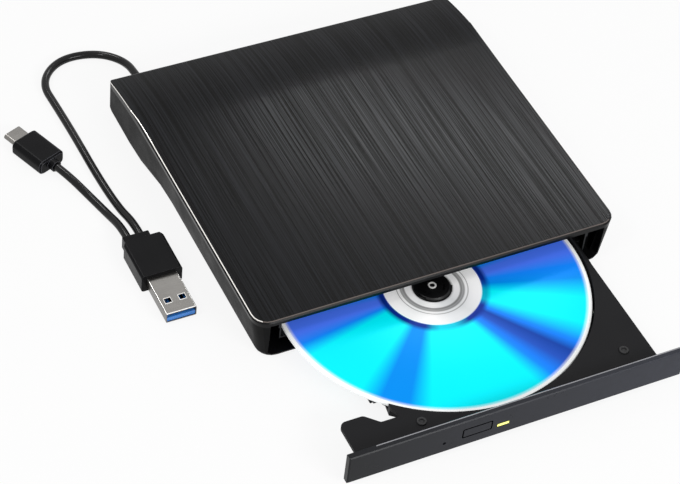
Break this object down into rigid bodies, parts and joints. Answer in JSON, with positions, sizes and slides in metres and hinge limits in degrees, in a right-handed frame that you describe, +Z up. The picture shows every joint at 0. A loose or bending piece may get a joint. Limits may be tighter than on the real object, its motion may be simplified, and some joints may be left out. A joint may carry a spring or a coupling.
{
  "type": "external disc drive",
  "caption": "Slim external disc drive with a sliding disc tray, a mirror disc on its spindle and a lead with USB-A and USB-C plugs.",
  "frame": {"origin": "on the table under the drive, midway between the tray's front panel, which is part way out, and the case's back", "axes": "+X to the drive's right seen from the front, +Y towards its back, +Z up from the feet"},
  "size_m": [0.195, 0.2408, 0.0204],
  "materials": {
    "cover_aluminium": "brushed, dark anodised",
    "case_plastic": "moulded black",
    "foot_rubber": "soft dark rubber",
    "black_steel": "blackened",
    "circuit_board": "green solder mask",
    "chip_plastic": "moulded epoxy",
    "connector_plastic": "moulded nylon",
    "lead_rubber": "smooth soft vinyl",
    "plug_plastic": "moulded black",
    "bright_steel": "nickel plated",
    "blue_plastic": "moulded blue",
    "gold_contact": "gold flashed",
    "zinc_steel": "zinc plated sheet",
    "guide_plastic": "natural acetal",
    "flex_film": "pale polyester film",
    "tray_plastic": "fine textured black",
    "bezel_plastic": "satin black",
    "lamp_clear": "lit yellow lens",
    "motor_copper": "enamelled copper",
    "hub_plastic": "moulded black",
    "disc_mirror": "blue iridescent mirror",
    "sled_metal": "die cast",
    "lens_glass": "coated lens"
  },
  "bodies": {
    "case": {"top_cover": "cover_aluminium", "bottom_shell": "case_plastic", "rubber_feet": "foot_rubber", "case_screws": "black_steel", "bridge_board": "circuit_board", "bridge_parts": "chip_plastic", "bridge_connector": "connector_plastic", "lead_grommet": "lead_rubber", "main_lead": "lead_rubber", "pigtail_lead": "lead_rubber", "plug_a_body": "plug_plastic", "plug_a_shell": "bright_steel", "plug_a_tongue": "blue_plastic", "plug_a_contacts": "gold_contact", "plug_c_body": "plug_plastic", "plug_c_shell": "bright_steel", "plug_c_tongue": "connector_plastic", "chassis_pan": "zinc_steel", "chassis_lid": "zinc_steel", "lid_screws": "black_steel", "rail_guide_left": "guide_plastic", "rail_guide_right": "guide_plastic", "drive_board": "circuit_board", "drive_socket": "connector_plastic", "flex_cable": "flex_film"},
    "tray": {"tray_frame": "tray_plastic", "bezel": "bezel_plastic", "bumper_pads": "foot_rubber", "lamp_lens": "lamp_clear", "switch_board": "circuit_board", "eject_switch": "chip_plastic", "tray_bottom_cover": "zinc_steel", "tray_screws": "black_steel", "spindle_stator": "motor_copper", "traverse_plate": "zinc_steel", "guide_rods": "bright_steel", "step_motor": "bright_steel", "lens_shroud": "tray_plastic", "latch_magnet": "motor_copper"},
    "rail_left": {"rail_left": "zinc_steel"},
    "rail_right": {"rail_right": "zinc_steel"},
    "spindle": {"turntable": "hub_plastic", "spindle_cap": "bright_steel", "disc": "disc_mirror"},
    "claw_1": {"hub_claw_1": "hub_plastic"},
    "claw_2": {"hub_claw_2": "hub_plastic"},
    "claw_3": {"hub_claw_3": "hub_plastic"},
    "eject_button": {"eject_button": "bezel_plastic"},
    "sled": {"sled_body": "sled_metal", "laser_unit": "sled_metal"},
    "lens": {"lens_holder": "hub_plastic", "objective_lens": "lens_glass"},
    "lead_screw": {"lead_screw": "bright_steel"},
    "latch": {"latch_lever": "guide_plastic"}
  },
  "joints": [
    {"name": "tray_slide", "type": "slide", "parent": "case", "child": "tray", "axis": [0, -1, 0], "range_m": [-0.0633, 0.064], "deforming": ["flex_cable"]},
    {"name": "rail_left_slide", "type": "slide", "parent": "case", "child": "rail_left", "axis": [0, -1, 0], "range_m": [-0.03165, 0.032]},
    {"name": "rail_right_slide", "type": "slide", "parent": "case", "child": "rail_right", "axis": [0, -1, 0], "range_m": [-0.03165, 0.032]},
    {"name": "spindle_spin", "type": "hinge", "parent": "tray", "child": "spindle", "pos_m": [-0.0019, -0.03735, 0.0075], "axis": [0, 0, 1], "continuous": true},
    {"name": "claw_1_slide", "type": "slide", "parent": "spindle", "child": "claw_1", "axis": [0, -1, 0], "range_m": [0, 0.0004], "stiffness_N_per_m": 30},
    {"name": "claw_2_slide", "type": "slide", "parent": "spindle", "child": "claw_2", "axis": [0.866, 0.5, 0], "range_m": [0, 0.0004], "stiffness_N_per_m": 30},
    {"name": "claw_3_slide", "type": "slide", "parent": "spindle", "child": "claw_3", "axis": [-0.866, 0.5, 0], "range_m": [0, 0.0004], "stiffness_N_per_m": 30},
    {"name": "eject_press", "type": "slide", "parent": "tray", "child": "eject_button", "axis": [0, 1, 0], "range_m": [0, 0.0007], "stiffness_N_per_m": 100},
    {"name": "sled_slide", "type": "slide", "parent": "tray", "child": "sled", "axis": [0.7071, -0.7071, 0], "range_m": [-0.011, 0.017]},
    {"name": "lens_focus", "type": "slide", "parent": "sled", "child": "lens", "axis": [0, 0, 1], "range_m": [-0.00035, 0.00035], "stiffness_N_per_m": 50},
    {"name": "screw_spin", "type": "hinge", "parent": "tray", "child": "lead_screw", "pos_m": [0.00347, -0.06026, 0.0065], "axis": [0.7071, -0.7071, 0], "range_deg": [-1321, 2041]},
    {"name": "latch_turn", "type": "hinge", "parent": "tray", "child": "latch", "pos_m": [-0.0312, -0.09265, 0.0056], "axis": [0, 0, 1], "range_deg": [0, 14]}
  ],
  "couplings": [
    {"joint": "rail_left_slide", "follows": "tray_slide", "ratio": 0.5},
    {"joint": "rail_right_slide", "follows": "tray_slide", "ratio": 0.5},
    {"joint": "screw_spin", "follows": "sled_slide", "rad_per_m": 2094.4}
  ]
}
